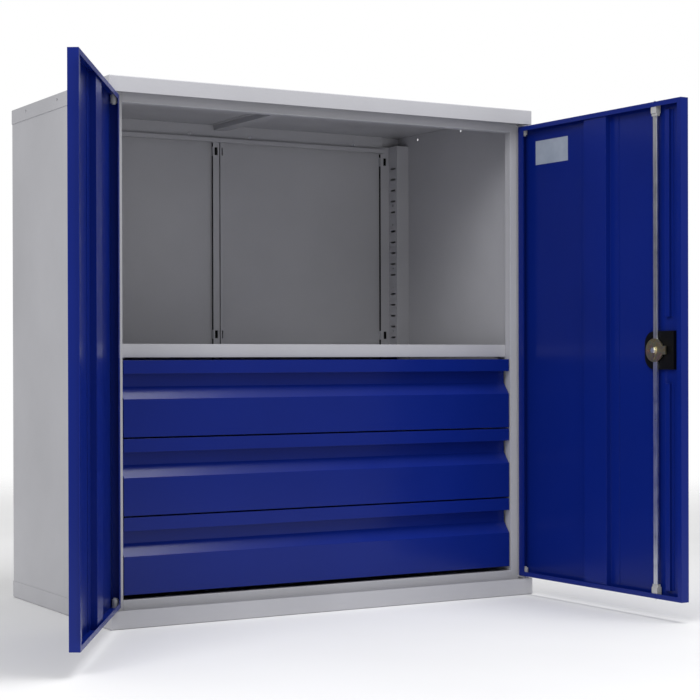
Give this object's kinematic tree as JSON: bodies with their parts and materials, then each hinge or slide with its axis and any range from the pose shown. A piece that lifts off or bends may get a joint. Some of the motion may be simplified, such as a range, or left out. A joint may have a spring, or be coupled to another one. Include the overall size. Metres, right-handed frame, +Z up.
{
  "type": "tool cabinet with doors",
  "caption": "Low steel tool cabinet with hinged doors locked by rods, an open shelf compartment above and drawers on ball slides below.",
  "frame": {"origin": "on the floor, under the middle of the cabinet's width and depth, the open doors left out", "axes": "+X to the right seen from the front, -Y out of the doors' side, +Z up"},
  "size_m": [1.1965, 0.9518, 1],
  "materials": {
    "blue_powder_coat": "fine orange peel, semi gloss",
    "grey_powder_coat": "fine orange peel, semi gloss",
    "zinc": "bright zinc plate",
    "slide_zinc": "zinc plate, slightly oily",
    "yellow_zinc": "yellow passivated zinc",
    "ball_steel": "polished",
    "black_plastic": "moulded",
    "grey_nylon": "moulded",
    "label_foil": "printed foil, left bare"
  },
  "bodies": {
    "cabinet": {"top_cover": "grey_powder_coat", "base_tray": "grey_powder_coat", "side_panel_left": "grey_powder_coat", "side_panel_right": "grey_powder_coat", "front_post_left": "grey_powder_coat", "front_post_right": "grey_powder_coat", "front_top_rail": "grey_powder_coat", "front_bottom_rail": "grey_powder_coat", "back_panel_left": "grey_powder_coat", "back_panel_right": "grey_powder_coat", "back_centre_post": "grey_powder_coat", "back_top_rail": "grey_powder_coat", "back_rail_bolts": "zinc", "ceiling_stiffener": "grey_powder_coat", "rear_upright_left": "grey_powder_coat", "rear_upright_right": "grey_powder_coat", "front_upright_left": "grey_powder_coat", "front_upright_right": "grey_powder_coat", "mid_shelf": "grey_powder_coat", "shelf_brackets": "grey_powder_coat", "slide_outer_members": "slide_zinc", "hinge_brackets_left": "grey_powder_coat", "hinge_brackets_right": "grey_powder_coat", "hinge_screws": "zinc"},
    "left_door": {"left_door_panel": "blue_powder_coat", "left_door_rib": "blue_powder_coat", "left_door_edge_rib": "blue_powder_coat", "left_door_hinge_bushes": "grey_nylon", "left_door_stop_strip": "blue_powder_coat"},
    "right_door": {"right_door_panel": "blue_powder_coat", "right_door_rib": "blue_powder_coat", "right_door_edge_ribs": "blue_powder_coat", "right_door_hinge_bushes": "grey_nylon", "label_plate": "label_foil", "lock_case": "black_plastic", "rod_guides": "grey_nylon"},
    "lock_cam": {"lock_cylinder": "zinc", "lock_cam_disc": "yellow_zinc", "lock_cam_nut": "zinc"},
    "upper_rod": {"lock_rod_upper": "zinc"},
    "lower_rod": {"lock_rod_lower": "zinc"},
    "drawer_bottom": {"drawer_front_bottom": "blue_powder_coat", "drawer_box_bottom": "grey_powder_coat", "slide_inner_members_bottom": "slide_zinc"},
    "runners_bottom": {"slide_middle_members_bottom": "slide_zinc", "slide_ball_strips_bottom": "ball_steel", "slide_catches_bottom": "black_plastic"},
    "drawer_middle": {"drawer_front_middle": "blue_powder_coat", "drawer_box_middle": "grey_powder_coat", "slide_inner_members_middle": "slide_zinc"},
    "runners_middle": {"slide_middle_members_middle": "slide_zinc", "slide_ball_strips_middle": "ball_steel", "slide_catches_middle": "black_plastic"},
    "drawer_top": {"drawer_front_top": "blue_powder_coat", "drawer_box_top": "grey_powder_coat", "slide_inner_members_top": "slide_zinc"},
    "runners_top": {"slide_middle_members_top": "slide_zinc", "slide_ball_strips_top": "ball_steel", "slide_catches_top": "black_plastic"}
  },
  "joints": [
    {"name": "left_door_swing", "type": "hinge", "parent": "cabinet", "child": "left_door", "pos_m": [-0.462, -0.241, 0.502], "axis": [0, 0, -1], "range_deg": [-121.5, 58.5]},
    {"name": "right_door_swing", "type": "hinge", "parent": "cabinet", "child": "right_door", "pos_m": [0.462, -0.241, 0.502], "axis": [0, 0, 1], "range_deg": [-91.5, 88.5]},
    {"name": "lock_turn", "type": "hinge", "parent": "right_door", "child": "lock_cam", "pos_m": [0.47216, -0.62887, 0.502], "axis": [-0.9997, -0.0262, 0], "range_deg": [0, 90]},
    {"name": "upper_rod_slide", "type": "slide", "parent": "right_door", "child": "upper_rod", "axis": [0, 0, 1], "range_m": [0, 0.01697]},
    {"name": "lower_rod_slide", "type": "slide", "parent": "right_door", "child": "lower_rod", "axis": [0, 0, -1], "range_m": [0, 0.01697]},
    {"name": "drawer_bottom_slide", "type": "slide", "parent": "cabinet", "child": "drawer_bottom", "axis": [0, -1, 0], "range_m": [0, 0.375]},
    {"name": "runners_bottom_slide", "type": "slide", "parent": "cabinet", "child": "runners_bottom", "axis": [0, -1, 0], "range_m": [0, 0.1875]},
    {"name": "drawer_middle_slide", "type": "slide", "parent": "cabinet", "child": "drawer_middle", "axis": [0, -1, 0], "range_m": [0, 0.375]},
    {"name": "runners_middle_slide", "type": "slide", "parent": "cabinet", "child": "runners_middle", "axis": [0, -1, 0], "range_m": [0, 0.1875]},
    {"name": "drawer_top_slide", "type": "slide", "parent": "cabinet", "child": "drawer_top", "axis": [0, -1, 0], "range_m": [0, 0.375]},
    {"name": "runners_top_slide", "type": "slide", "parent": "cabinet", "child": "runners_top", "axis": [0, -1, 0], "range_m": [0, 0.1875]}
  ],
  "couplings": [
    {"joint": "lock_turn", "follows": "upper_rod_slide", "rad_per_m": 92.56},
    {"joint": "lower_rod_slide", "follows": "upper_rod_slide", "ratio": 1},
    {"joint": "runners_bottom_slide", "follows": "drawer_bottom_slide", "ratio": 0.5},
    {"joint": "runners_middle_slide", "follows": "drawer_middle_slide", "ratio": 0.5},
    {"joint": "runners_top_slide", "follows": "drawer_top_slide", "ratio": 0.5}
  ]
}
